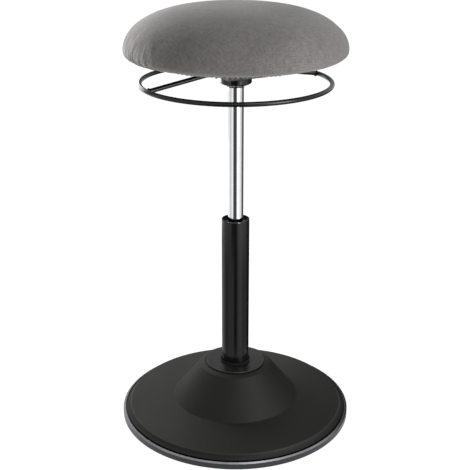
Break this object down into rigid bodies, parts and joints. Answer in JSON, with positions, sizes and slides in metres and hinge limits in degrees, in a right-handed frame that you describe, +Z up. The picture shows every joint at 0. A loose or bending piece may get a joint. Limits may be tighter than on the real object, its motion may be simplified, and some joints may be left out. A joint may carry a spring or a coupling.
{
  "type": "active stool",
  "caption": "Round padded stool on a gas lift that swings and swivels over a weighted bell-shaped base, with a ring handle under the seat to release the height.",
  "frame": {"origin": "on the floor under the middle of the column", "axes": "+Z up along the column, X along the two arms of the ring handle, with the arm that presses the valve on -X"},
  "size_m": [0.4287, 0.4288, 0.7648],
  "materials": {
    "foot_rubber": "matt dark grey",
    "bright_trim": "satin silver",
    "ballast": "black powder coat",
    "cover_plastic": "fine matt grain",
    "disc_plastic": "satin",
    "zinc": "zinc plated",
    "machined_steel": "turned",
    "hard_chrome": "mirror",
    "soft_rubber": "moulded",
    "black_steel": "satin black powder coat",
    "ring_black": "semi-gloss black",
    "black_plastic": "moulded",
    "gloss_black": "gloss",
    "white_nylon": "turned",
    "foam": "open-cell foam",
    "grey_weave": "fine woven upholstery",
    "elastic": "covered elastic"
  },
  "bodies": {
    "base": {"foot_ring": "foot_rubber", "trim_ring": "bright_trim", "base_plate": "ballast", "base_cover": "cover_plastic", "cover_screws": "zinc", "ball_seat": "machined_steel", "ball_seat_bolts": "zinc", "stop_ring": "soft_rubber", "buffer_feet": "zinc", "swing_buffers": "soft_rubber"},
    "ball": {"pivot_ball": "hard_chrome"},
    "column": {"buffer_caps": "zinc", "buffer_nuts": "zinc", "swing_plate": "black_steel", "column_socket": "black_steel", "standpipe": "black_steel", "guide_bush": "black_plastic", "tube_floor": "machined_steel", "lower_washer": "machined_steel"},
    "rod": {"piston_rod": "hard_chrome", "piston": "soft_rubber", "upper_washer": "machined_steel", "bearing_balls": "hard_chrome", "rod_clip": "machined_steel", "bumper": "soft_rubber"},
    "seat": {"chrome_tube": "hard_chrome", "rod_guide": "white_nylon", "pressure_tube": "machined_steel", "valve_block": "machined_steel", "valve_spring": "machined_steel", "taper_socket": "black_steel", "hub_cover": "gloss_black", "lever_bracket": "black_steel", "seat_plate": "black_steel", "plate_bolts": "zinc", "tee_nuts": "zinc", "seat_pan": "black_plastic", "seat_cushion": "foam", "seat_cover": "grey_weave", "hem_cord": "elastic", "pivot_pin": "zinc", "pin_spacers": "zinc", "pin_clip": "zinc"},
    "lever": {"ring_handle": "ring_black", "arm_left": "ring_black", "arm_right": "ring_black", "rocker": "black_steel"},
    "valve": {"valve_pin": "machined_steel"},
    "slip": {"slip_ring": "white_nylon"},
    "disc": {"cover_disc": "disc_plastic"}
  },
  "joints": [
    {"name": "tilt_x", "type": "hinge", "parent": "base", "child": "ball", "pos_m": [0, 0, 0.028], "axis": [1, 0, 0], "range_deg": [-5.5, 5.5], "stiffness_Nm_per_rad": 340, "deforming": ["swing_buffers"]},
    {"name": "tilt_y", "type": "hinge", "parent": "ball", "child": "column", "pos_m": [0, 0, 0.028], "axis": [0, 1, 0], "range_deg": [-5.5, 5.5], "stiffness_Nm_per_rad": 340},
    {"name": "slip_slide", "type": "slide", "parent": "base", "child": "slip", "axis": [1, 0, 0], "range_m": [-0.0075, 0.0075]},
    {"name": "disc_slide", "type": "slide", "parent": "slip", "child": "disc", "axis": [0, 1, 0], "range_m": [-0.0075, 0.0075]},
    {"name": "swivel", "type": "hinge", "parent": "column", "child": "rod", "pos_m": [0, 0, 0.0565], "axis": [0, 0, 1], "continuous": true},
    {"name": "lift", "type": "slide", "parent": "rod", "child": "seat", "axis": [0, 0, 1], "range_m": [-0.2, 0]},
    {"name": "ring_press", "type": "hinge", "parent": "seat", "child": "lever", "pos_m": [0.03, 0, 0.657], "axis": [0, -1, 0], "range_deg": [0, 5.5], "stiffness_Nm_per_rad": 4, "springref_deg": -8.59},
    {"name": "valve_press", "type": "slide", "parent": "seat", "child": "valve", "axis": [0, 0, -1], "range_m": [0, 0.003], "deforming": ["valve_spring"]}
  ],
  "couplings": [
    {"joint": "slip_slide", "follows": "tilt_y", "m_per_rad": 0.0761},
    {"joint": "disc_slide", "follows": "tilt_x", "m_per_rad": -0.0761},
    {"joint": "valve_press", "follows": "ring_press", "m_per_rad": 0.0301}
  ]
}
